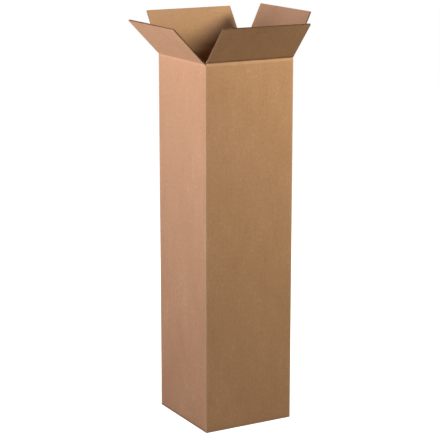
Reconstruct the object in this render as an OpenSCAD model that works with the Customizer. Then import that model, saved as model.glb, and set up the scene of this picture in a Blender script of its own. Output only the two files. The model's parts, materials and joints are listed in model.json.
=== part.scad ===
// Tall square shipping carton of corrugated board, standing open.
// One sheet is scored, slotted, folded round four walls, glued down one corner and folded shut below.
// The front and back flaps are the outer pair, and the left and right flaps tuck in under them.
// The origin is the middle of the underside. Front is -Y, right is +X, and +Z is up.

/* [Carton] */
// Clear width inside, left to right
inside_l = 254; // [160:1:500]
// Clear depth inside, front to back
inside_w = 254; // [160:1:500]
// Clear height inside with the flaps closed
inside_h = 974; // [200:1:1400]

/* [Board] */
// Thickness of the corrugated board
board_t = 4; // [3:0.1:5]
// Thickness of each paper facing
liner_t = 0.35; // [0.2:0.05:0.6]
// Thickness of the fluted paper between the facings
medium_t = 0.3; // [0.2:0.05:0.5]
// Distance from one flute to the next
flute_pitch = 7.9; // [5:0.1:12]

/* [Folds] */
// Outside radius of the upright folds between walls
corner_r = 2.2; // [1:0.1:5]
// Outside radius of the folds under the carton
bottom_r = 3; // [1:0.1:4]
// Height of the crushed band on each side of a flap's crease
score_w = 8.1; // [4:0.1:14]
// Depth of the outer flaps' hinge line behind the outer face
outer_hinge_d = 2.15; // [1.9:0.05:2.6]
// Depth of the inner flaps' hinge line behind the outer face
inner_hinge_d = 0.5; // [0.2:0.05:0.8]
// Air between an outer flap and the inner flap that it covers when closed
flap_lift = 0.15; // [0.1:0.05:1]

/* [Slots and seams] */
// Air beside each flap, towards the wall or fold next to it
side_play = 0.5; // [0.3:0.1:2]
// How far the corner slots run below the inner flaps' creases
slot_drop = 1; // [0.5:0.1:4]
// Gap where two top flaps meet when closed
meet_gap = 1; // [0.4:0.1:6]
// Gap in the seams under the carton
seam_gap = 0.5; // [0.2:0.1:4]

/* [Glued joint] */
// Width of the glue tab inside the back right corner
tab_w = 35; // [20:1:60]
// Thickness of the glue tab, crushed flat
tab_t = 3.2; // [1.5:0.1:4]
// Distance from the tab's ends to the floor and to the closed flaps
tab_setback = 12; // [4:1:60]
// Height of the slant at each end of the tab
tab_slant = 9; // [2:1:20]
// How far the back wall's cut edge stops short of the right wall's face
joint_step = 1; // [0.2:0.1:2]

/* [Flap angles] */
// Front flap, leaning out from upright
front_open = 42; // [0:1:150]
// Right flap, leaning out from upright
right_open = 25; // [0:1:150]
// Back flap, leaning out from upright
back_open = 35; // [0:1:150]
// Left flap, leaning out from upright
left_open = 44; // [0:1:150]

/* [Hidden] */
$fn = 48;

// Outside of the folded sheet
outside_l = inside_l + 2 * board_t;
outside_w = inside_w + 2 * board_t;

// Turn about +Z that brings the front's place to each side
FRONT = 0;
RIGHT = 90;
BACK = 180;
LEFT = 270;

// Each crease is as far below its wall's hinge line as the closed flap is thick there
floor_top = 2 * board_t;
inner_crease_z = floor_top + inside_h + board_t - inner_hinge_d;
outer_crease_z = inner_crease_z + inner_hinge_d + flap_lift + board_t - outer_hinge_d;

// Half of the air kept at a hinge line, and the slope of the inner faces there
hinge_gap = 0.1;
mitre_angle = 47;

// A flap's side is set in from the carton's outer face
outer_flap_inset = corner_r + side_play;
inner_flap_inset = board_t + side_play;

// Flutes start a little beyond the crushed band, and cuts run a little past a face
flute_start = score_w + 2;
past = 1;

// Swing of the fluted paper to each side of the middle, and half the width of a flute's open foot
wave_h = (board_t - medium_t) / 2 - liner_t;
flute_foot = 0.43 * flute_pitch;

paper = "#b98b62";
paper_left = "#c79a76";

// Places children on one side, with the outer face at y = 0, inward along +Y and x along the wall
module on_side(side, half_depth) {
    rotate([0, 0, side])
        translate([0, -half_depth, 0])
            children();
}

// Draws a (depth, height) outline as a panel of the given width across x
module across(width) {
    rotate([90, 0, 90])
        linear_extrude(width, center = true)
            children();
}

// What a fold of radius r takes off a square outer corner at the origin
module fold_waste(r) {
    difference() {
        translate([-past, -past])
            square(r + past);
        translate([r, r])
            circle(r);
    }
}

// One wall and its closed bottom flap in section, folded from one strip of the sheet
module wall_section(floor_z, crease_z, hinge_d, reach) {
    inner_drop = (board_t - hinge_d) * tan(mitre_angle);
    difference() {
        polygon([
            [0, floor_z],
            [0, crease_z - score_w],
            [hinge_d, crease_z - hinge_gap],
            [board_t, crease_z - hinge_gap - inner_drop],
            [board_t, floor_z + board_t],
            [reach, floor_z + board_t],
            [reach, floor_z],
        ]);
        translate([0, floor_z])
            fold_waste(bottom_r);
    }
}

// Front or back wall, whose bottom flap is the outer one
module outer_panel() {
    across(outside_l - 2 * corner_r)
        wall_section(0, outer_crease_z, outer_hinge_d, (outside_w - seam_gap) / 2);
}

// Left or right wall, whose bottom flap lies on the outer pair
module inner_panel() {
    across(inside_w)
        wall_section(board_t, inner_crease_z, inner_hinge_d, (outside_l - seam_gap) / 2);
}

// Places children at a corner, given by its signs in x and y, with +X and +Y pointing inward
module at_corner(sign_x, sign_y) {
    translate([sign_x * outside_l / 2, sign_y * outside_w / 2])
        mirror([sign_x > 0 ? 1 : 0, 0])
            mirror([0, sign_y > 0 ? 1 : 0])
                children();
}

// The board between the slots at the four upright folds
module corner_posts() {
    translate([0, 0, slot_drop])
        linear_extrude(inner_crease_z - 2 * slot_drop)
            for (sign_x = [-1, 1], sign_y = [-1, 1])
                at_corner(sign_x, sign_y)
                    square([corner_r, board_t]);
}

// What rounds the three folded corners
module corner_waste() {
    for (signs = [[-1, -1], [1, -1], [-1, 1]])
        at_corner(signs[0], signs[1])
            fold_waste(corner_r);
}

// The groove at the glued corner, between the right wall's fold and the back wall's cut edge
module joint_waste() {
    at_corner(1, 1) {
        translate([-past, -past])
            square([joint_step + past, board_t + past]);
        translate([0, board_t])
            difference() {
                translate([-past, 0])
                    square([corner_r + past, corner_r]);
                translate([corner_r, corner_r])
                    circle(corner_r);
            }
    }
}

// The glue tab, which carries on from the right wall and lies flat inside the back wall
module glue_tab() {
    low = floor_top + tab_setback;
    high = floor_top + inside_h - tab_setback;
    translate([outside_l / 2 - board_t, outside_w / 2 - board_t, 0])
        rotate([90, 0, 0])
            linear_extrude(tab_t)
                polygon([
                    [0, low],
                    [0, high],
                    [-tab_w, high - tab_slant],
                    [-tab_w, low + tab_slant],
                ]);
}

module carton_body() {
    color(paper)
        difference() {
            union() {
                on_side(FRONT, outside_w / 2)
                    outer_panel();
                on_side(BACK, outside_w / 2)
                    outer_panel();
                on_side(RIGHT, outside_l / 2)
                    inner_panel();
                on_side(LEFT, outside_l / 2)
                    inner_panel();
                corner_posts();
                glue_tab();
            }
            translate([0, 0, -past])
                linear_extrude(outer_crease_z + 2 * past) {
                    corner_waste();
                    joint_waste();
                }
        }
}

// Underside of the fluted paper over one hollow, as heights from the middle of the board
function flute_points() = [
    for (turn = [-144 : 72 : 144])
        [flute_pitch * turn / 360, wave_h * cos(turn) - medium_t / 2],
];

// One flute's hollow, between the lower facing and the fluted paper above it
module flute_hollow() {
    polygon(concat(
        [[-flute_foot, -wave_h - medium_t / 2]],
        flute_points(),
        [[flute_foot, -wave_h - medium_t / 2]]
    ));
}

// All the hollows across a flap, from one side edge to the other
module flute_hollows(width) {
    pitches = ceil(width / flute_pitch / 2);
    for (i = [-pitches : pitches])
        translate([i * flute_pitch, 0]) {
            flute_hollow();
            translate([flute_pitch / 2, 0])
                mirror([0, 1])
                    flute_hollow();
        }
}

// An upright flap with its hinge line on the X axis, its outer face towards -Y and its flutes upright
module flap(width, reach, hinge_d) {
    inner_d = board_t - hinge_d;
    difference() {
        across(width)
            polygon([
                [0, hinge_gap],
                [-hinge_d, score_w],
                [-hinge_d, reach],
                [inner_d, reach],
                [inner_d, hinge_gap + inner_d * tan(mitre_angle)],
            ]);
        translate([0, (inner_d - hinge_d) / 2, flute_start])
            linear_extrude(reach - flute_start + past)
                flute_hollows(width);
    }
}

// Hangs a flap on one side's crease and leans it outward from upright
module hung_flap(side, half_depth, crease_z, hinge_d, angle, width) {
    on_side(side, half_depth)
        translate([0, hinge_d, crease_z])
            rotate([angle, 0, 0])
                flap(width, half_depth - hinge_d - meet_gap / 2, hinge_d);
}

module outer_flap(side, angle) {
    width = outside_l - 2 * outer_flap_inset;
    hung_flap(side, outside_w / 2, outer_crease_z, outer_hinge_d, angle, width);
}

module inner_flap(side, angle) {
    width = outside_w - 2 * inner_flap_inset;
    hung_flap(side, outside_l / 2, inner_crease_z, inner_hinge_d, angle, width);
}

module front_flap() {
    color(paper)
        outer_flap(FRONT, front_open);
}

module right_flap() {
    color(paper_left)
        inner_flap(RIGHT, right_open);
}

module back_flap() {
    color(paper)
        outer_flap(BACK, back_open);
}

module left_flap() {
    color(paper_left)
        inner_flap(LEFT, left_open);
}

carton_body();
front_flap();
right_flap();
back_flap();
left_flap();
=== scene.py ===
import json
import math

import bmesh
import bpy
import numpy as np
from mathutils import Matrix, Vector
from mathutils.geometry import tessellate_polygon


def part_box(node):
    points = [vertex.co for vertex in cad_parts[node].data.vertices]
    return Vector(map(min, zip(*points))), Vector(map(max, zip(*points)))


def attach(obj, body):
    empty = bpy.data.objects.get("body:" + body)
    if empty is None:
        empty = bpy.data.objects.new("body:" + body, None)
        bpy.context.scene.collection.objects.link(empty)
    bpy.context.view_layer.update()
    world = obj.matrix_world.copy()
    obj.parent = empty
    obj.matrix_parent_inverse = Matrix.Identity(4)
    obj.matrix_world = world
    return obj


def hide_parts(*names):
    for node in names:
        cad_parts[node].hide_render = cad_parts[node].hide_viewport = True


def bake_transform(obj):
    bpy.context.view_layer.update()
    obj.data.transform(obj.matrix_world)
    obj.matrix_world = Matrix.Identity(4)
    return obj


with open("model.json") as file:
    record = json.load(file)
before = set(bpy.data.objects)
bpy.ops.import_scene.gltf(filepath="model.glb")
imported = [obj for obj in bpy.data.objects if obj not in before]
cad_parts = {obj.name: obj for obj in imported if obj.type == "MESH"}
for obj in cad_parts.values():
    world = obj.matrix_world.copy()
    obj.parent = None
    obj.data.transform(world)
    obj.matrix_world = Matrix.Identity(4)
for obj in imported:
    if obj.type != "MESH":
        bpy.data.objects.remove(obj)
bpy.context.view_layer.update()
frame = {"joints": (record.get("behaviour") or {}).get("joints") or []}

MM = 0.001

# Sizes of the folded sheet, as the part has them
OUTSIDE = 2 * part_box("carton_body")[1].x
HALF = OUTSIDE / 2
BOARD_T = 4.0 * MM
LINER_T = 0.35 * MM
MEDIUM_T = 0.3 * MM
FLUTE_PITCH = 7.9 * MM
CORNER_R = 2.2 * MM
BOTTOM_R = 3.0 * MM
SCORE_W = 8.1 * MM
FLUTE_START = SCORE_W + 2.0 * MM
SIDE_PLAY = 0.5 * MM
SLOT_DROP = 1.0 * MM
MEET_GAP = 1.0 * MM
SEAM_GAP = 0.5 * MM
JOINT_STEP = 1.0 * MM
TAB_W = 35.0 * MM
TAB_T = 3.2 * MM
TAB_SETBACK = 12.0 * MM
TAB_SLANT = 9.0 * MM

# How far a facing sags between two flutes: the depth, its least share, and what slow waves add to that
WASH_DEPTH = 0.13 * MM
WASH_LEAST = 0.55
WASH_ADDED = 0.9
# Half the height of the paper that bends at a flap's crease
BEND_HALF = 3.0 * MM
# Paper left over the hinge line, at the bottom of the crushed groove
CREASE_SKIN = 0.25 * MM
# Thickness of the board crushed at a crease, and the groove in its inner face: flat half and side
CRUSHED_T = 1.7 * MM
GROOVE_FLAT = 0.8 * MM
GROOVE_SIDE = 2.8 * MM
# Flutes show again over this distance beyond a crease's crushed band
CRUSH_FADE = 5.0 * MM
# Below its slots a crease's groove runs out sideways: where that starts, over what height, and how wide
RUNOUT_DROP = 2.0 * MM
RUNOUT_H = 3.0 * MM
RUNOUT_W = 4.0 * MM
# How far the outer face is drawn in at an upright fold, and how far beside it that starts
FOLD_SINK = 0.5 * MM
FOLD_REACH = 7.0 * MM
# Flutes fade out over this distance beside an upright fold
FLUTE_FADE = 7.0 * MM
# The walls' ring ends this far below the inner flaps' creases and above the floor
RING_TOP_DROP = 14.0 * MM
RING_LOW = 16.0 * MM
# Under the carton the flutes show by this share of their sag, which fades in over this distance
UNDER_SHARE = 0.3
UNDER_FADE = 8.0 * MM
# Waves of a cut edge: radians a metre, how far the seed moves each, and height in steps of CUT_DEPTH
CUT_WAVES = ((310.0, 1.0, 1.0), (830.0, 2.3, 1.0), (2100.0, 3.1, 0.6))
CUT_DEPTH = 0.05 * MM
# These and a side's turns are the seeds of its flap's cut, in the facings and in the fluted paper
FACING_SEED = 1.0
FLUTING_SEED = 4.0
# The fluted paper is sunk into the facings, starts inside the crushed board and ends short of the cut
FLUTING_SUNK = 0.02 * MM
FLUTING_OVERLAP = 0.5 * MM
FLUTING_SHORT = 0.3 * MM
# The glue tab's back is sunk into the wall. Its long edge thins by a share, over a share of its width
TAB_SUNK = 0.2 * MM
TAB_THINNED = 0.25
TAB_EDGE = 0.1

# Columns of points to each flute: on facings, on the walls' inside and on the fluted paper
FACE_COLUMNS = 8
INSIDE_COLUMNS = 4
FLUTING_COLUMNS = 16
# Columns keep this share of a step away from a face's two ends
END_SHARE = 0.3
# Rows up the walls, and the distance from the ring's ends to the first and last of them
WALL_ROWS = 28
WALL_END_ROW = 10.0 * MM
# Only every third row is needed on the walls' inside
INSIDE_ROW_STEP = 3
# Heights of a top flap's rows about its crease
CREASE_ROWS = MM * np.array([
    -12, -10, -8.1, -6.5, -5, -3.6, -2.6, -1.8, -1.1, -0.5,
    0, 0.5, 1.1, 1.8, 2.6, 3.6, 5, 6.5, 8.1,
])
# Rows above them: how many, how far they stay from the flutes' start and the cut edge, and one at the edge
FLAP_ROWS = 9
FLAP_LOW_ROW = 4.0 * MM
FLAP_HIGH_ROW = 5.0 * MM
FLAP_EDGE_ROW = 1.0 * MM
# Steps round an upright fold, round a bottom fold and along a bottom flap
FOLD_STEPS = 6
BOTTOM_STEPS = 6
UNDER_STEPS = 6
# Columns and rows of the glue tab
TAB_COLUMNS = 12
TAB_ROWS = 14
# Faces that meet at more than this angle keep a sharp edge between them
SHARP_DEG = 40.0
CORNER_SHARP_DEG = 30.0
# Points closer than this are one point
MERGE_DIST = 0.0002 * MM

# Quarter turns about +Z that bring the front to each side, and each top flap's lean at rest
SIDES = {"front": 0, "right": 1, "back": 2, "left": 3}
LEAN = {"front": 42.0, "right": 25.0, "back": 35.0, "left": 44.0}
OUTER_SIDES = ("front", "back")
# The right wall folds on into the glue tab, and the back wall ends over it in a cut edge
GLUED_SIDE = SIDES["right"]
CUT_SIDE = SIDES["back"]
# The walls as they follow each other on the flat sheet
SHEET_ORDER = (CUT_SIDE, SIDES["left"], SIDES["front"], GLUED_SIDE)

# Numbers that mark a surface in its sheet coordinates
OUTER_FACE = 0.0
INNER_FACE = 1.0
FLUTING = 2.0
CUT_EDGE = 3.0

# Places of the papers among a piece's materials
OUT, IN, EDGE, FLUTE = range(4)

joints = {j["name"]: j for j in frame["joints"]}


def hinge(side):
    """Depth of a flap's hinge line behind the wall's outer face, and its height."""
    at = joints[side + "_flap_fold"]["pos_m"]
    return HALF - max(abs(at[0]), abs(at[1])), at[2]


INNER_CREASE_Z = hinge("left")[1]
OUTER_CREASE_Z = hinge("front")[1]
RING_TOP = INNER_CREASE_Z - RING_TOP_DROP
# Clear height inside, from the bottom flaps to the closed top flaps
INSIDE_LOW = 2 * BOARD_T
INSIDE_TOP = INNER_CREASE_Z - BOARD_T + hinge("left")[0]


# The flat sheet and its unevenness

def smooth(t):
    """Smooth step from 0 to 1."""
    t = np.clip(t, 0.0, 1.0)
    return t * t * (3 - 2 * t)


def to_world(turns, x, y, z):
    """Points of one side, along the wall, inward from its outer face and up, in the row frame."""
    c, s = round(math.cos(turns * math.pi / 2)), round(math.sin(turns * math.pi / 2))
    depth = y - HALF
    x, depth, z = np.broadcast_arrays(x, depth, z)
    return np.stack([c * x - s * depth, s * x + c * depth, z], axis=-1)


def sheet_start(turns):
    """Place along the flat sheet of a side's middle, counted from the front's middle."""
    return (SHEET_ORDER.index(turns) - SHEET_ORDER.index(SIDES["front"])) * OUTSIDE


def sheet_marks(u, v, surface):
    """Points' places along and up the flat sheet, with the number of their surface."""
    return np.stack(np.broadcast_arrays(u, v, surface), axis=-1)


def flute_turn(u):
    """How far a place along the sheet is through the flutes, in radians."""
    return 2 * math.pi * u / FLUTE_PITCH


def slow_wave(u, v):
    """Slow unevenness over the sheet, between about 0 and 1. The factors are in radians a metre."""
    patches = np.sin(31.0 * u + 1.3) * np.sin(9.0 * v + 0.4)
    narrow = np.sin(67.0 * u + 17.0 * v + 2.1)
    broad = np.sin(13.0 * u - 23.0 * v + 0.7)
    return 0.5 + 0.2 * patches + 0.15 * narrow + 0.15 * broad


def sag(u, v, inside=False):
    """How far a facing lies below the flute tips that it is glued to."""
    shift = math.pi if inside else 0.0
    wave = 0.5 - 0.5 * np.cos(flute_turn(u) + shift)
    return WASH_DEPTH * wave * (WASH_LEAST + WASH_ADDED * slow_wave(u, v))


def cut_wander(x, seed):
    """A cut edge's small unevenness, which only ever shortens the board."""
    waves = sum(height * np.sin(x * turn + move * seed) for turn, move, height in CUT_WAVES)
    highest = sum(height for _, _, height in CUT_WAVES)
    return CUT_DEPTH * (waves - highest)


def columns(turns, x_low, x_high, per_flute):
    """Places along a wall, in step with the flutes, with the two ends."""
    step = FLUTE_PITCH / per_flute
    start = sheet_start(turns)
    first = math.ceil((start + x_low) / step + END_SHARE)
    last = math.floor((start + x_high) / step - END_SHARE)
    inner = np.arange(first, last + 1) * step - start
    return np.concatenate([[x_low], inner, [x_high]])


# Materials: four papers

# Each surface's number times this takes it to a place of its own in the patterns
SURFACE_SCALE = 5.0
# Patterns of a facing: scale along and up the sheet, detail, roughness
FACING_PATTERNS = {
    "mottle": (34.0, 16.0, 4.0, 0.6),
    "blotch": (9.0, 5.0, 2.0, 0.5),
    "clouds": (150.0, 120.0, 3.0, 0.55),
    "streaks": (420.0, 14.0, 2.0, 0.6),
    "fibres": (700.0, 4200.0, 3.0, 0.65),
    "grain": (2600.0, 2600.0, 2.0, 0.7),
}
# Share that each has in the facing's tone, and how much darker it is over a flute's outer tip
TONE_SHARES = {"mottle": 0.42, "blotch": 0.5, "clouds": 0.76, "streaks": 0.22, "fibres": 0.34, "grain": 0.16}
FLUTE_TONE = 0.035
# Share that each has in the facing's relief, and how deep and how strong the relief is
RELIEF_SHARES = {"grain": 0.4, "fibres": 0.6, "streaks": 0.5}
FACING_RELIEF = 0.06 * MM
FACING_STRENGTH = 0.55
# A facing's least roughness, what the mottle adds to it, and its shine
FACING_ROUGHNESS = 0.72
MOTTLE_ROUGHNESS = 0.14
FACING_SHINE = 0.25
# Cut edges and fluting: contrast of the coarse pattern, share of the fine one in the relief, and its depth
ROUGH_CONTRAST = 1.4
FINE_SHARE = 0.5
ROUGH_RELIEF = 0.15 * MM
# Tones at which a facing has its dark, its own and its pale colour
TONES = (0.18, 0.5, 0.82)
# Flecks of bark: cells a metre, share of cells with none, soft edge in cells, share of light, and strength
FLECK_CELLS = (150.0, 190.0)
FLECK_NONE = 0.9
FLECK_EDGE = (0.05, 0.14)
FLECK_LIGHT = 0.35
FLECK_STRENGTH = 0.42
# Worn paper, partly a painted highlight: how far it is on the way to the pale colour, and how much lighter
# besides
WEAR_HIGHLIGHT_PALE = 0.55
WEAR_HIGHLIGHT_LIGHTER = 0.03
# The mottle makes the wear and painted highlight uneven: its values between which they go up, from what
# share to what
WEAR_HIGHLIGHT_MOTTLE = (0.35, 0.6)
WEAR_HIGHLIGHT_SHARE = (0.65, 1.0)
# A top crease's share of the wear and painted highlight, and how close to it that is full. It ends a score's
# width away
CREASE_WEAR_HIGHLIGHT = 0.6
CREASE_WEAR_HIGHLIGHT_W = 1.5 * MM
# Distances from an upright fold between which the wear and painted highlight go down, and the height at its
# top over which they end
FOLD_WEAR_HIGHLIGHT_W = (1.2 * MM, 6.5 * MM)
FOLD_WEAR_HIGHLIGHT_END = 4.0 * MM


class Nodes:
    """Short calls for building the nodes of one material or world."""

    def __init__(self, owner):
        self.owner = owner
        owner.use_nodes = True
        self.tree = owner.node_tree
        self.tree.nodes.clear()

    def add(self, kind, sockets=None, **settings):
        """Makes a node, then links an output to each named socket or sets its plain value."""
        node = self.tree.nodes.new(kind)
        for key, value in settings.items():
            setattr(node, key, value)
        for key, value in (sockets or {}).items():
            if isinstance(value, bpy.types.NodeSocket):
                self.tree.links.new(value, node.inputs[key])
            else:
                node.inputs[key].default_value = value
        return node

    def show(self, shader, output="ShaderNodeOutputMaterial"):
        """Ends the nodes with a shader, and returns the material or world."""
        self.add(output, {"Surface": shader.outputs[0]})
        return self.owner

    def math(self, operation, a, b=0.0, c=0.0, clamp=False):
        """The result of one operation on values or outputs."""
        sockets = {0: a, 1: b, 2: c}
        return self.add("ShaderNodeMath", sockets, operation=operation, use_clamp=clamp).outputs[0]

    def around(self, value, share, level, clamp=False):
        """A share of how far a pattern's value is from its middle, on top of a level."""
        return self.math("MULTIPLY_ADD", self.math("SUBTRACT", value, 0.5), share, level, clamp)

    def apart(self, a, b):
        """How far two values are apart."""
        return self.math("ABSOLUTE", self.math("SUBTRACT", a, b))

    def mix(self, factor, a, b):
        """A colour on the way from a to b."""
        sockets = {"Factor": factor, "A": a, "B": b}
        return self.add("ShaderNodeMix", sockets, data_type="RGBA").outputs["Result"]

    def ramp(self, value, low, high, out_low=0.0, out_high=1.0):
        """Smooth step of a value between two limits."""
        sockets = {"Value": value, "From Min": low, "From Max": high, "To Min": out_low, "To Max": out_high}
        return self.add("ShaderNodeMapRange", sockets, interpolation_type="SMOOTHSTEP").outputs[0]

    def scaled(self, place, along, up):
        """The sheet's coordinates, scaled each way."""
        sockets = {0: place, 1: (along, up, SURFACE_SCALE)}
        return self.add("ShaderNodeVectorMath", sockets, operation="MULTIPLY").outputs[0]

    def noise(self, place, along, up, detail, roughness):
        """Cloudy pattern with about this many patches a metre along and up the sheet."""
        sockets = {"Vector": self.scaled(place, along, up), "Scale": 1.0}
        sockets.update({"Detail": detail, "Roughness": roughness})
        return self.add("ShaderNodeTexNoise", sockets).outputs["Fac"]

    def paper(self, colour, roughness, specular, height, strength, distance):
        """A finished paper: its colour, how it shines, and the relief of its fibres."""
        relief = self.add("ShaderNodeBump", {"Height": height, "Strength": strength, "Distance": distance})
        return self.show(self.add("ShaderNodeBsdfPrincipled", {
            "Base Color": colour,
            "Roughness": roughness,
            "Specular IOR Level": specular,
            "Normal": relief.outputs[0],
        }))


def opaque(colour):
    """A colour as a node's socket takes it."""
    return (*colour, 1.0)


def sheet_place(n):
    """The flat sheet's coordinates at a point in metres: whole, along and up."""
    place = n.add("ShaderNodeAttribute", attribute_name="sheet").outputs["Vector"]
    split = n.add("ShaderNodeSeparateXYZ", {0: place})
    return place, split.outputs["X"], split.outputs["Y"]


def facing_colour(n, tone, dark, base, pale):
    """The colour of a facing's tone."""
    node = n.add("ShaderNodeValToRGB", {0: tone})
    node.color_ramp.interpolation = "EASE"
    elements = node.color_ramp.elements
    for element, place, colour in ((elements[0], TONES[0], dark), (elements[1], TONES[2], pale)):
        element.position = place
        element.color = opaque(colour)
    elements.new(TONES[1]).color = opaque(base)
    return node.outputs["Color"]


def bark_flecks(n, place):
    """One over a few flecks of bark, each a millimetre or so across, and nothing elsewhere."""
    sockets = {"Vector": n.scaled(place, *FLECK_CELLS), "Scale": 1.0}
    cells = n.add("ShaderNodeTexVoronoi", sockets, feature="F1")
    chance = n.add("ShaderNodeSeparateColor", {0: cells.outputs["Color"]})
    picked = n.math("GREATER_THAN", chance.outputs[0], FLECK_NONE)
    return n.math("MULTIPLY", picked, n.ramp(cells.outputs["Distance"], *FLECK_EDGE, 1.0, 0.0))


def crease_wear_and_highlight(n, v):
    """Mask of worn paper and painted highlight: one close to the top creases and nothing a score's width
    away.
    """
    nearest = n.math("MINIMUM", n.apart(v, INNER_CREASE_Z), n.apart(v, OUTER_CREASE_Z))
    return n.ramp(nearest, CREASE_WEAR_HIGHLIGHT_W, SCORE_W, 1.0, 0.0)


def fold_wear_and_highlight(n, u, v):
    """Mask of worn paper and painted highlight: one at the upright folds of the walls and nothing a few
    millimetres beside them.
    """
    share = n.math("FRACT", n.math("MULTIPLY_ADD", u, 1 / OUTSIDE, 0.5))
    from_fold = n.math("SUBTRACT", 0.5, n.apart(share, 0.5))
    line = n.ramp(n.math("MULTIPLY", from_fold, OUTSIDE), *FOLD_WEAR_HIGHLIGHT_W, 1.0, 0.0)
    below = n.ramp(v, INNER_CREASE_Z - FOLD_WEAR_HIGHLIGHT_END, INNER_CREASE_Z, 1.0, 0.0)
    return n.math("MULTIPLY", line, below)


def kraft_paper(name, base, pale, dark, streak=1.0):
    """Unbleached kraft facing: cloudy fibres, flute streaks, mottling, bark flecks, and worn folds and
    creases that also carry a painted highlight.
    """
    n = Nodes(bpy.data.materials.new(name))
    place, u, v = sheet_place(n)
    pattern = {key: n.noise(place, *settings) for key, settings in FACING_PATTERNS.items()}

    tone = 0.5
    for key, share in TONE_SHARES.items():
        tone = n.around(pattern[key], share * streak if key == "streaks" else share, tone)
    flute = n.math("COSINE", n.math("MULTIPLY", u, 2 * math.pi / FLUTE_PITCH))
    tone = n.math("MULTIPLY_ADD", flute, -FLUTE_TONE * streak, tone, clamp=True)
    colour = facing_colour(n, tone, dark, base, pale)

    bark = opaque([FLECK_LIGHT * c for c in base])
    colour = n.mix(n.math("MULTIPLY", bark_flecks(n, place), FLECK_STRENGTH), colour, bark)

    # Paper stretched pale along the creases of the top flaps and rubbed along the upright folds. This is
    # partly wear and partly a painted highlight
    worn_and_highlit = opaque([c + WEAR_HIGHLIGHT_PALE * (p - c) + WEAR_HIGHLIGHT_LIGHTER for c, p in zip(base, pale)])
    uneven = n.ramp(pattern["mottle"], *WEAR_HIGHLIGHT_MOTTLE, *WEAR_HIGHLIGHT_SHARE)
    stretched_and_highlit = n.math("MULTIPLY", crease_wear_and_highlight(n, v), CREASE_WEAR_HIGHLIGHT)
    rubbed_and_highlit = n.math("MAXIMUM", stretched_and_highlit, fold_wear_and_highlight(n, u, v))
    colour = n.mix(n.math("MULTIPLY", rubbed_and_highlit, uneven), colour, worn_and_highlit)

    height = 0.0
    for key, share in RELIEF_SHARES.items():
        height = n.math("MULTIPLY_ADD", pattern[key], share, height)
    roughness = n.math("MULTIPLY_ADD", pattern["mottle"], MOTTLE_ROUGHNESS, FACING_ROUGHNESS)
    return n.paper(colour, roughness, FACING_SHINE, height, FACING_STRENGTH, FACING_RELIEF)


def rough_paper(name, base, dark):
    """Cut board edges and the fluted paper: coarse recycled fibre, darker than the facings."""
    n = Nodes(bpy.data.materials.new(name))
    place = sheet_place(n)[0]
    coarse = n.noise(place, along=900.0, up=900.0, detail=4.0, roughness=0.7)
    fine = n.noise(place, along=5000.0, up=2500.0, detail=2.0, roughness=0.6)
    colour = n.mix(n.around(coarse, ROUGH_CONTRAST, 0.5, clamp=True), opaque(dark), opaque(base))
    height = n.math("MULTIPLY_ADD", fine, FINE_SHARE, coarse)
    return n.paper(colour, roughness=0.92, specular=0.15, height=height, strength=0.8, distance=ROUGH_RELIEF)


# In the order of OUT, IN, EDGE and FLUTE
PAPERS = (
    kraft_paper(
        "kraft_outside",
        base=(0.575, 0.312, 0.168),
        pale=(0.655, 0.385, 0.215),
        dark=(0.50, 0.268, 0.135),
    ),
    kraft_paper(
        "kraft_inside",
        base=(0.525, 0.298, 0.166),
        pale=(0.583, 0.35, 0.203),
        dark=(0.449, 0.246, 0.131),
        streak=0.7,
    ),
    rough_paper("cut_board", base=(0.46, 0.27, 0.145), dark=(0.27, 0.145, 0.07)),
    rough_paper("fluted_paper", base=(0.40, 0.235, 0.125), dark=(0.25, 0.135, 0.065)),
)


# Meshes

class Sheet:
    """Collects grids of quads that share one mesh, with each point's place on the flat sheet."""

    def __init__(self):
        self.points = []
        self.marks = []
        self.faces = []
        self.slots = []
        self.count = 0

    def add(self, points, marks, faces, slot):
        """Adds points, and faces over them of one paper."""
        self.points.append(points)
        self.marks.append(marks)
        self.faces.append(np.array(faces) + self.count)
        self.slots.append(np.full(len(faces), slot))
        self.count += len(points)

    def grid(self, points, marks, slot, flip=False):
        """Adds rows and columns of points as quads."""
        rows, cols = points.shape[:2]
        index = np.arange(rows * cols).reshape(rows, cols)
        a, b, c, d = index[:-1, :-1], index[:-1, 1:], index[1:, 1:], index[1:, :-1]
        order = (d, c, b, a) if flip else (a, b, c, d)
        quads = np.stack([n.ravel() for n in order], axis=1)
        self.add(points.reshape(-1, 3), marks.reshape(-1, 3), quads, slot)

    def strip(self, line_a, line_b, marks_a, marks_b=None, slot=EDGE):
        """Adds one row of quads between two lines of points, which may share their marks."""
        marks = [marks_a, marks_a if marks_b is None else marks_b]
        self.grid(np.stack([line_a, line_b]), np.stack(marks), slot)

    def close_sides(self, front, back, marks, slot=EDGE):
        """Joins the four sides of two grids."""
        for end in (0, -1):
            self.strip(front[end], back[end], marks[end], slot=slot)
        for end in (0, -1):
            self.strip(front[:, end], back[:, end], marks[:, end], slot=slot)

    def build(self, name, sharp_deg=SHARP_DEG):
        """Makes the piece, with its touching points joined."""
        mesh = bpy.data.meshes.new(name)
        faces = [face for group in self.faces for face in group.tolist()]
        mesh.from_pydata(np.concatenate(self.points).tolist(), [], faces)
        marks = mesh.attributes.new("sheet", "FLOAT_VECTOR", "POINT")
        marks.data.foreach_set("vector", np.concatenate(self.marks).astype(np.float32).ravel())
        mesh.polygons.foreach_set("material_index", np.concatenate(self.slots).astype(np.int32))
        for paper in PAPERS:
            mesh.materials.append(paper)
        work = bmesh.new()
        work.from_mesh(mesh)
        bmesh.ops.remove_doubles(work, verts=work.verts, dist=MERGE_DIST)
        bmesh.ops.recalc_face_normals(work, faces=work.faces)
        work.to_mesh(mesh)
        work.free()
        mesh.shade_smooth()
        mesh.set_sharp_from_angle(angle=math.radians(sharp_deg))
        piece = bpy.data.objects.new(name, mesh)
        bpy.context.scene.collection.objects.link(piece)
        return piece


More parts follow.
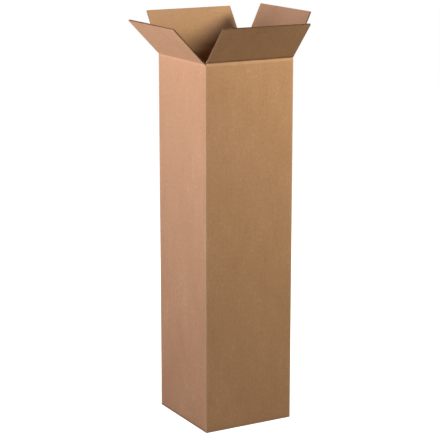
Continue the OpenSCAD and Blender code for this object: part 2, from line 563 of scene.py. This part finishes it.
# The four walls, as one ring of board

def flap_inset(side):
    """How far a flap's side edge lies in from the carton's outer face."""
    return (CORNER_R if side in OUTER_SIDES else BOARD_T) + SIDE_PLAY


def wall_fade(x, inset=CORNER_R):
    """No flute shows at an upright fold, where the score has crushed it."""
    return smooth((HALF - inset - np.abs(x)) / FLUTE_FADE)


def fold_sink(turns, x):
    """How far the crushed score draws a wall's outer face in beside its upright folds."""
    low_gap = np.inf if turns == CUT_SIDE else HALF - CORNER_R + x
    high_gap = HALF - CORNER_R - x - (BOARD_T if turns == GLUED_SIDE else 0.0)
    gap = np.minimum(low_gap, high_gap)
    radius = CORNER_R - FOLD_SINK
    arc = CORNER_R - np.sqrt(radius**2 - np.clip(-gap, 0.0, radius) ** 2)
    return np.where(gap < 0, arc, FOLD_SINK * (1 - smooth(gap / FOLD_REACH)))


def fold_arc(turns):
    """Plan of one rounded upright fold, at the end of the given side: x, y and sheet place."""
    angle = np.linspace(0, math.pi / 2, FOLD_STEPS + 1)[1:-1]
    radius = CORNER_R - FOLD_SINK
    x = HALF - CORNER_R + radius * np.sin(angle)
    y = CORNER_R - radius * np.cos(angle)
    u = sheet_start(turns) + HALF - CORNER_R + 2 * CORNER_R * angle / (math.pi / 2)
    return x, y, u


def cut_end():
    """Plan of the back wall's cut end at the glued corner, with the slit between its facings."""
    edge, deep = HALF - BOARD_T, flap_inset("back")
    x = [edge, edge + LINER_T, edge + LINER_T, HALF - LINER_T, HALF - LINER_T]
    return np.array(x), np.array([JOINT_STEP, JOINT_STEP, deep, deep, JOINT_STEP])


def closed(plan):
    """A plan's values with the first one repeated at the end."""
    return np.concatenate([plan, plan[:1]])


def plan_part(turns, x, y, u, share):
    """Points of one side's plan: world x and y, sheet place, way in and share of the flutes' sag."""
    x, y, u, share = np.broadcast_arrays(*np.atleast_1d(x, y, u, share))
    at = to_world(turns, x, y, 0.0)[:, :2]
    way_in = to_world(turns, x, y + 1.0, 0.0)[:, :2] - at
    return at, u, way_in, share


def outer_loop():
    """Plan of the ring's outer face, in parts along the sheet."""
    parts = []
    for turns in SHEET_ORDER:
        low = -HALF + (JOINT_STEP if turns == CUT_SIDE else CORNER_R)
        high = HALF - (BOARD_T + CORNER_R if turns == GLUED_SIDE else CORNER_R)
        x = columns(turns, low, high, FACE_COLUMNS)
        parts.append(plan_part(turns, x, fold_sink(turns, x), sheet_start(turns) + x, wall_fade(x)))
        if turns != GLUED_SIDE:
            parts.append(plan_part(turns, *fold_arc(turns), 0.0))
    # The fold of the glued corner lies a board's thickness further in, beside the back wall's cut end
    x, y, u = fold_arc(GLUED_SIDE)
    parts.append(plan_part(GLUED_SIDE, x - BOARD_T, y, u - BOARD_T, 0.0))
    fold_end = HALF - BOARD_T
    u = sheet_start(GLUED_SIDE) + fold_end
    parts.append(plan_part(GLUED_SIDE, fold_end - FOLD_SINK, CORNER_R, u, 0.0))
    parts.append(plan_part(GLUED_SIDE, *cut_end(), u, 0.0))
    return [np.concatenate(items) for items in zip(*parts)]


def inner_loop():
    """Plan of the ring's inner face, whose flutes sag the other way."""
    reach = HALF - BOARD_T
    parts = []
    for turns in SHEET_ORDER:
        x = columns(turns, -reach, reach, INSIDE_COLUMNS)[:-1]
        fade = wall_fade(x, BOARD_T)
        at, u, way_in, share = plan_part(turns, x, BOARD_T, sheet_start(turns) + x, fade)
        parts.append((at, u, -way_in, share))
    return [np.concatenate(items) for items in zip(*parts)]


def raised(loop, heights, surface):
    """Points and marks of a closed plan raised through rows of heights."""
    at, u, way, share = [closed(values) for values in loop]
    z = heights[:, None]
    depth = sag(u, z, surface == INNER_FACE) * share
    xy = at + way * depth[:, :, None]
    points = np.dstack([xy, np.broadcast_to(z, depth.shape)])
    return points, sheet_marks(u, z, surface)


def ring_caps(sheet, outer, inner):
    """Closes the ring's hidden ends, each outer point joined to the inner point nearest to it."""
    outer_points, outer_marks = outer
    inner_points, inner_marks = inner
    for end in (0, -1):
        line, other = outer_points[end], inner_points[end]
        near = np.array([np.argmin(((other - point) ** 2).sum(1)) for point in line])
        sheet.strip(line, other[near], outer_marks[end], inner_marks[end][near])


def build_walls():
    """The four walls between the ring's ends."""
    middle = np.linspace(RING_LOW + WALL_END_ROW, RING_TOP - WALL_END_ROW, WALL_ROWS)
    heights = np.concatenate([[RING_LOW], middle, [RING_TOP]])
    outer = raised(outer_loop(), heights, OUTER_FACE)
    inner = raised(inner_loop(), np.append(heights[:-1:INSIDE_ROW_STEP], RING_TOP), INNER_FACE)
    sheet = Sheet()
    # The last columns of the outer plan, up to the one that closes it, are the cut end
    cut_columns = len(cut_end()[0]) + 1
    sheet.grid(*[values[:, :-cut_columns] for values in outer], OUT)
    sheet.grid(*[values[:, -cut_columns - 1:] for values in outer], EDGE)
    sheet.grid(*inner, IN, flip=True)
    ring_caps(sheet, outer, inner)
    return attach(sheet.build("carton_walls"), "carton")


# Top flaps: two facings over a fluted paper, bent at the crease

def rest_bend(side, v):
    """How far the sheet has turned outward at height v above the crease, in radians."""
    return math.radians(LEAN[side]) * smooth((v + BEND_HALF) / (2 * BEND_HALF))


def bent(side, x, y, v):
    """Points of one side's board, from the flat sheet to the rest pose."""
    depth, crease = hinge(side)
    angle = rest_bend(side, v)
    out, up, angle, x = np.broadcast_arrays(depth - y, v, angle, x)
    new_out = out * np.cos(angle) + up * np.sin(angle)
    new_up = up * np.cos(angle) - out * np.sin(angle)
    return to_world(SIDES[side], x, depth - new_out, crease + new_up)


def flap_reach(side):
    """Length of a flap from its hinge line to its free edge."""
    return HALF - hinge(side)[0] - MEET_GAP / 2


def outer_depth(side, v):
    """Depth of the outer face, which the score has pressed in towards the hinge line."""
    deepest = hinge(side)[0] - CREASE_SKIN
    return np.clip(deepest * (1 - np.abs(v) / SCORE_W), 0.0, None)


def inner_depth(side, v):
    """Depth of the inner face, with the groove that the scoring wheel has pressed in."""
    crushed = hinge(side)[0] - CREASE_SKIN + CRUSHED_T
    return crushed + (BOARD_T - crushed) * smooth((np.abs(v) - GROOVE_FLAT) / GROOVE_SIDE)


def facing_depths(side, x, v):
    """Depths of a flap's outer and inner face, at places along the wall and up from the crease."""
    turns = SIDES[side]
    u = sheet_start(turns) + x
    z = hinge(side)[1] + v
    crush = smooth((np.abs(v) - SCORE_W) / CRUSH_FADE)
    runout = smooth((-v - RUNOUT_DROP) / RUNOUT_H)
    from_side = HALF - flap_inset(side) - np.abs(x)
    groove = 1 - runout * (1 - smooth(from_side / RUNOUT_W))
    outer = outer_depth(side, v) * groove + fold_sink(turns, x) * runout
    outer = outer + sag(u, z) * crush * np.where(v < 0, wall_fade(x), 1.0)
    inner_fade = np.where(v < 0, wall_fade(x, BOARD_T), 1.0)
    inner = inner_depth(side, v) - sag(u, z, True) * crush * inner_fade
    return outer, inner


def flap_rows(side):
    """Heights of a flap's rows above its crease, and the number of the one where its flutes start."""
    reach = flap_reach(side)
    solid = np.concatenate([[RING_TOP - hinge(side)[1]], CREASE_ROWS, [FLUTE_START]])
    fluted = np.linspace(FLUTE_START + FLAP_LOW_ROW, reach - FLAP_HIGH_ROW, FLAP_ROWS)
    return np.concatenate([solid, fluted, [reach - FLAP_EDGE_ROW, reach]]), len(solid) - 1


def close_facings(sheet, faces, backs, edge, start):
    """Closes the solid board up to the flutes' start, and the two facings that go on above it."""
    outer, inner = faces
    outer_back, inner_back = backs
    sheet.strip(outer[0], inner[0], edge[0])
    sheet.strip(outer_back[0], inner_back[0], edge[start])
    below = start - 1
    for end in (0, -1):
        sheet.strip(outer[:start, end], inner[:start, end], edge[:start, end])
        # Between the last solid row and the next, the side goes from one face to the other over both backs
        rim = [outer[below, end], outer[start, end], outer_back[0, end]]
        rim += [inner_back[0, end], inner[start, end], inner[below, end]]
        rim_marks = edge[[below, start, start, start, start, below], end]
        sheet.add(np.array(rim), rim_marks, ((0, 1, 2), (0, 2, 3), (0, 3, 5), (3, 4, 5)), EDGE)
    for face, back in zip(faces, backs):
        sheet.strip(face[-1], back[-1], edge[-1])
        for end in (0, -1):
            sheet.strip(face[start:, end], back[:, end], edge[start:, end])


def build_flap(side):
    """Both facings of one top flap, carried down over the crease to the wall below it."""
    turns = SIDES[side]
    width = HALF - flap_inset(side)
    heights, start = flap_rows(side)
    v = heights[:, None]
    x = columns(turns, -width, width, FACE_COLUMNS)
    u = sheet_start(turns) + x
    z = hinge(side)[1] + v
    # The last row follows the uneven cut
    cut = v + np.zeros_like(x)
    cut[-1] += cut_wander(x, FACING_SEED + turns)
    outer_y, inner_y = facing_depths(side, x, v)
    faces = bent(side, x, outer_y, cut), bent(side, x, inner_y, cut)
    outer_marks, inner_marks = sheet_marks(u, z, OUTER_FACE), sheet_marks(u, z, INNER_FACE)

    sheet = Sheet()
    sheet.grid(faces[0], outer_marks, OUT)
    sheet.grid(faces[1], inner_marks, IN, flip=True)
    # Backs of the two facings, seen inside the flutes
    backs = (
        bent(side, x, outer_y[start:] + LINER_T, cut[start:]),
        bent(side, x, inner_y[start:] - LINER_T, cut[start:]),
    )
    sheet.grid(backs[0], inner_marks[start:], IN, flip=True)
    sheet.grid(backs[1], outer_marks[start:], IN)
    close_facings(sheet, faces, backs, sheet_marks(u, z, CUT_EDGE), start)
    piece = sheet.build(side + "_flap_facings")
    blend_crease(piece, side)
    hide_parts(side + "_flap")


def blend_crease(piece, side):
    """Bakes the piece's place into its points. The ends of the crease's bend that it works out are not used.
    """
    depth, crease = hinge(side)
    half_lean = math.radians(LEAN[side]) / 2
    out, up = BEND_HALF * math.sin(half_lean), BEND_HALF * math.cos(half_lean)
    ends = [to_world(SIDES[side], 0.0, depth - k * out, crease + k * up) for k in (-1, 1)]
    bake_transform(piece)


def build_fluting(side):
    """The fluted paper between one top flap's facings."""
    turns = SIDES[side]
    reach = flap_reach(side)
    width = HALF - flap_inset(side)
    x = columns(turns, -width, width, FLUTING_COLUMNS)
    u = sheet_start(turns) + x
    swing = (BOARD_T - MEDIUM_T) / 2 - LINER_T + FLUTING_SUNK
    middle = BOARD_T / 2 - swing * np.cos(flute_turn(u))
    # The paper keeps its thickness across the slope of each flute
    slope = swing * 2 * math.pi / FLUTE_PITCH * np.sin(flute_turn(u))
    half_t = MEDIUM_T / 2 * np.sqrt(1 + slope**2)
    v = np.array([FLUTE_START - FLUTING_OVERLAP, (FLUTE_START + reach) / 2, reach - FLUTING_SHORT])[:, None]
    cut = v + np.zeros_like(x)
    cut[-1] += cut_wander(x, FLUTING_SEED + turns)
    marks = sheet_marks(u, hinge(side)[1] + v, FLUTING)
    low = bent(side, x, middle - half_t, cut)
    high = bent(side, x, middle + half_t, cut)
    sheet = Sheet()
    sheet.grid(low, marks, FLUTE)
    sheet.grid(high, marks, FLUTE, flip=True)
    sheet.close_sides(low, high, marks, FLUTE)
    piece = sheet.build(side + "_flap_fluting")
    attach(piece, side + "_flap")


# Board between the slots, above and below the ring

def build_corners():
    """The short ends of the four upright folds, past the ring's top and bottom."""
    sheet = Sheet()
    insets = [flap_inset(side) for side in SIDES]
    for turns, near in enumerate(insets):
        far = insets[(turns + 1) % 4]
        if turns == GLUED_SIDE:
            plans = glued_corner_plans(near, far)
        else:
            plans = [folded_corner_plan(turns, near, far)]
        for plan in plans:
            prism(sheet, turns, plan, SLOT_DROP, RING_LOW)
            prism(sheet, turns, plan, RING_TOP, INNER_CREASE_Z - SLOT_DROP)
    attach(sheet.build("corner_ends", CORNER_SHARP_DEG), "carton")


def folded_corner_plan(turns, near, far):
    """Plan of a folded corner between two slots, with each point's place along the sheet."""
    arc_x, arc_y, _ = fold_arc(turns)
    low, edge = HALF - near, HALF - BOARD_T
    sink = fold_sink(turns, low)
    far_sink = fold_sink((turns + 1) % 4, far - HALF)
    x = np.array([low, HALF - CORNER_R, *arc_x, HALF - FOLD_SINK, HALF - far_sink, edge, edge, low])
    y = np.array([sink, FOLD_SINK, *arc_y, CORNER_R, far, far, BOARD_T, BOARD_T])
    return x, y, sheet_start(turns) + x + y


def glued_corner_plans(near, far):
    """Plans of the glued corner: the right wall's fold, and the back wall's cut end beside it."""
    low, edge = HALF - near, HALF - BOARD_T
    x = np.array([low, edge - FOLD_SINK, edge, low])
    y = np.array([fold_sink(GLUED_SIDE, low), CORNER_R, BOARD_T, BOARD_T])
    plans = [(x, y, sheet_start(GLUED_SIDE) + x)]
    cut_y = np.array([JOINT_STEP, JOINT_STEP, far, far])
    for facing in (edge, HALF - LINER_T):
        cut_x = facing + LINER_T * np.array([0.0, 1.0, 1.0, 0.0])
        plans.append((cut_x, cut_y, sheet_start(CUT_SIDE) - HALF + cut_y))
    return plans


def prism(sheet, turns, plan, low, high):
    """A closed upright prism over a plan of x, y and sheet places."""
    outline = [Vector((x, y, 0.0)) for x, y in zip(*plan[:2])]
    x, y, u = [closed(values) for values in plan]
    z = np.array([low, high])[:, None]
    points = to_world(turns, x, y, z)
    marks = sheet_marks(u, z, OUTER_FACE)
    sheet.grid(points, marks, OUT)
    triangles = tessellate_polygon([outline])
    for row in (0, 1):
        sheet.add(points[row, :-1], marks[row, :-1], triangles, EDGE)


# Bottom flaps and glue tab

def bottom_section(low):
    """Section of a wall's foot and bottom flap: depth and height of its outer face, then of its inner."""
    turn = np.linspace(0, math.pi / 2, BOTTOM_STEPS + 1)
    run = np.linspace(BOTTOM_R, HALF - SEAM_GAP / 2, UNDER_STEPS + 1)[1:]
    out_y = np.concatenate([[0.0], BOTTOM_R * (1 - np.cos(turn)), run])
    out_z = np.concatenate([[RING_LOW], low + BOTTOM_R * (1 - np.sin(turn)), np.full(len(run), low)])
    foot_z = np.linspace(RING_LOW, low + BOARD_T, len(turn) + 1)
    in_y = np.concatenate([np.full(len(foot_z), BOARD_T), np.maximum(run, BOARD_T)])
    in_z = np.concatenate([foot_z, np.full(len(run), low + BOARD_T)])
    return [values[:, None] for values in (out_y, out_z, in_y, in_z)]


def build_bottom(side):
    """One closed bottom flap, carried up round its fold to the ring."""
    turns = SIDES[side]
    outer_pair = side in OUTER_SIDES
    low = 0.0 if outer_pair else BOARD_T
    width = HALF - (CORNER_R if outer_pair else BOARD_T)
    x = columns(turns, -width, width, FACE_COLUMNS)
    u = sheet_start(turns) + x
    out_y, out_z, in_y, in_z = bottom_section(low)
    steps = np.hypot(np.diff(out_y, axis=0), np.diff(out_z, axis=0))
    v = RING_LOW - np.concatenate([[[0.0]], np.cumsum(steps, axis=0)])
    # Up the wall the face dips at the flutes and sinks to the upright folds; under the box it dips less
    upright = out_z > low + BOTTOM_R / 2
    still_up = smooth((out_z - low - BOTTOM_R) / (RING_LOW - low - BOTTOM_R))
    under = UNDER_SHARE * smooth((out_y - BOTTOM_R) / UNDER_FADE)
    dip = sag(u, RING_LOW) * wall_fade(x) * np.where(upright, still_up, under)
    sink = fold_sink(turns, x) * smooth((out_z - low) / BOTTOM_R)
    outer = to_world(turns, x, out_y + dip * upright + sink, out_z + dip * ~upright)
    inner = to_world(turns, x, in_y, in_z)
    sheet = Sheet()
    sheet.grid(outer, sheet_marks(u, v, OUTER_FACE), OUT, flip=True)
    sheet.grid(inner, sheet_marks(u, v, INNER_FACE), IN)
    sheet.close_sides(outer, inner, sheet_marks(u, v, CUT_EDGE))
    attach(sheet.build(side + "_bottom_flap"), "carton")


def build_tab():
    """The glue tab inside the back wall, with slanted ends and a long edge that thins."""
    right = -(HALF - BOARD_T)
    across = np.linspace(right, right + TAB_W, TAB_COLUMNS)
    share = (across - right) / TAB_W
    z_low = INSIDE_LOW + TAB_SETBACK + TAB_SLANT * share
    z_high = INSIDE_TOP - TAB_SETBACK - TAB_SLANT * share
    t = np.linspace(0, 1, TAB_ROWS)[:, None]
    z = z_low * (1 - t) + z_high * t
    thickness = TAB_T * (1 - TAB_THINNED * smooth((share - (1 - TAB_EDGE)) / TAB_EDGE))
    front = to_world(CUT_SIDE, across, BOARD_T + thickness, z)
    back = to_world(CUT_SIDE, across, BOARD_T - TAB_SUNK, z)
    u = sheet_start(GLUED_SIDE) + HALF + TAB_W * share
    marks = sheet_marks(u, z, INNER_FACE)
    sheet = Sheet()
    sheet.grid(front, marks, IN)
    sheet.grid(back, marks, IN, flip=True)
    sheet.close_sides(front, back, marks)
    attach(sheet.build("glue_tab"), "carton")


walls = build_walls()
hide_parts("carton_body")
build_corners()
build_tab()
for name in SIDES:
    build_flap(name)
    build_fluting(name)
    build_bottom(name)


# Stage, light and camera

# The floor is far wider than the view, and just under the carton
FLOOR_HALF = 30.0
FLOOR_DROP = 0.2 * MM
# Greys of the floor to the other rays and to the camera
FLOOR_SHADES = ((0.35, 0.35, 0.35, 1.0), (0.8, 0.8, 0.8, 1.0))
# The floor's glow to the camera goes up from near the carton to far off: distances and strengths
GLOW_FROM, GLOW_TO = 0.5, 2.2
GLOW_NEAR, GLOW_FAR = 0.88, 1.0
WHITE = (1.0, 1.0, 1.0, 1.0)
# Dim light from all round, and its strength
WORLD_LIGHT = (1.0, 0.985, 0.96, 1.0)
WORLD_STRENGTH = 0.015
# The photograph's viewpoint, fitted to the carton's corners: place, and turns down and to the right
CAMERA_AT = (-2.0801, -3.6910, 1.5322)
CAMERA_DOWN_DEG = 13.1525
CAMERA_RIGHT_DEG = 29.2174
LENS = 132.2
SENSOR_W = 36.0
# The camera shows nothing beyond this distance, which is past the floor's corners
CLIP_END = 100.0


def stage_white():
    """Pale floor that looks white to the camera and still takes the object's shadow."""
    n = Nodes(bpy.data.materials.new("studio_floor"))
    to_camera = n.add("ShaderNodeLightPath").outputs["Is Camera Ray"]
    diffuse = n.add("ShaderNodeBsdfDiffuse", {"Color": n.mix(to_camera, *FLOOR_SHADES)})
    place = n.add("ShaderNodeNewGeometry").outputs["Position"]
    far = n.add("ShaderNodeVectorMath", {0: place}, operation="LENGTH").outputs["Value"]
    level = n.ramp(far, GLOW_FROM, GLOW_TO, GLOW_NEAR, GLOW_FAR)
    strength = n.math("MULTIPLY", to_camera, level)
    glow = n.add("ShaderNodeEmission", {"Color": WHITE, "Strength": strength})
    return n.show(n.add("ShaderNodeAddShader", {0: diffuse.outputs[0], 1: glow.outputs[0]}))


def build_stage():
    """A floor far wider than the view."""
    mesh = bpy.data.meshes.new("studio_floor")
    s = FLOOR_HALF
    mesh.from_pydata([(-s, -s, 0), (s, -s, 0), (s, s, 0), (-s, s, 0)], [], [(0, 1, 2, 3)])
    floor = bpy.data.objects.new("studio_floor", mesh)
    floor.location.z = -FLOOR_DROP
    mesh.materials.append(stage_white())
    bpy.context.scene.collection.objects.link(floor)


def build_world():
    """Dim even light all round, and a white background to the camera."""
    n = Nodes(bpy.data.worlds.new("studio"))
    to_camera = n.add("ShaderNodeLightPath").outputs["Is Camera Ray"]
    light = n.add("ShaderNodeBackground", {"Color": WORLD_LIGHT, "Strength": WORLD_STRENGTH})
    white = n.add("ShaderNodeBackground", {"Color": WHITE, "Strength": 1.0})
    both = n.add("ShaderNodeMixShader", {0: to_camera, 1: light.outputs[0], 2: white.outputs[0]})
    bpy.context.scene.world = n.show(both, "ShaderNodeOutputWorld")


def add_softbox(name, azimuth, distance, height, aim_z, size, power, colour):
    """A soft light. Azimuth 0 is in front of the carton, and it grows towards the right."""
    lamp = bpy.data.lights.new(name, "AREA")
    lamp.shape = "RECTANGLE"
    lamp.size, lamp.size_y = size
    lamp.energy = power
    lamp.color = colour
    holder = bpy.data.objects.new(name, lamp)
    a = math.radians(azimuth)
    place = Vector((math.sin(a) * distance, -math.cos(a) * distance, height))
    holder.location = place
    holder.rotation_mode = "QUATERNION"
    holder.rotation_quaternion = (Vector((0, 0, aim_z)) - place).to_track_quat("-Z", "Y")
    holder.visible_camera = False
    bpy.context.scene.collection.objects.link(holder)


def build_camera():
    """The photograph's viewpoint: from the front left, a little above the open top."""
    data = bpy.data.cameras.new("camera")
    data.sensor_width = SENSOR_W
    data.lens = LENS
    data.clip_end = CLIP_END
    camera = bpy.data.objects.new("camera", data)
    camera.location = CAMERA_AT
    camera.rotation_euler = (math.radians(90 - CAMERA_DOWN_DEG), 0.0, math.radians(-CAMERA_RIGHT_DEG))
    bpy.context.scene.collection.objects.link(camera)
    bpy.context.scene.camera = camera


build_stage()
build_world()
add_softbox(
    "front_softbox", azimuth=52.0, distance=1.65, height=1.63, aim_z=1.3,
    size=(0.6, 0.36), power=36.0, colour=(1.0, 0.985, 0.78),
)
add_softbox(
    "left_softbox", azimuth=-80.0, distance=1.85, height=1.3, aim_z=1.9,
    size=(1.2, 0.7), power=39.5, colour=(1.0, 0.985, 1.1),
)
add_softbox(
    "back_softbox", azimuth=190.0, distance=2.2, height=0.7, aim_z=0.5,
    size=(1.4, 0.9), power=24.0, colour=(1.0, 0.98, 0.93),
)
build_camera()

bpy.context.scene.view_settings.view_transform = "Standard"
